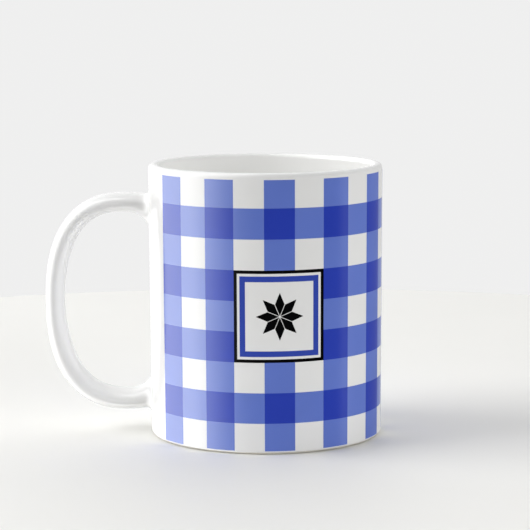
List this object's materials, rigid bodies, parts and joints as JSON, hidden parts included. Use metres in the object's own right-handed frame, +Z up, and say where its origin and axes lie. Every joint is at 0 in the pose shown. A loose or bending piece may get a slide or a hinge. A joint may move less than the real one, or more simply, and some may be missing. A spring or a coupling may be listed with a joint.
{
  "type": "mug",
  "caption": "Straight-sided glazed ceramic mug with a rounded strap handle, a rolled lip, a foot ring, a printed gingham wrap and framed star labels.",
  "frame": {"origin": "on the plane the foot ring stands on, under the middle of the whole mug, handle included", "axes": "+Z up out of the mouth, -X towards the handle, -Y towards the first label"},
  "size_m": [0.12, 0.083, 0.0955],
  "materials": {
    "white_glaze": "glossy white glaze",
    "light_blue_ink": "printed ink under a glossy coat",
    "deep_blue_ink": "printed ink under a glossy coat",
    "black_ink": "printed ink under a glossy coat"
  },
  "bodies": {
    "root": {"cup_body": "white_glaze", "handle": "white_glaze", "upper_handle_joint": "white_glaze", "lower_handle_joint": "white_glaze", "gingham_wrap": "light_blue_ink", "front_label_outer_frame": "black_ink", "front_label_inner_frame": "deep_blue_ink", "front_label_rosette": "black_ink", "back_label_outer_frame": "black_ink", "back_label_inner_frame": "deep_blue_ink", "back_label_rosette": "black_ink"}
  },
  "joints": []
}
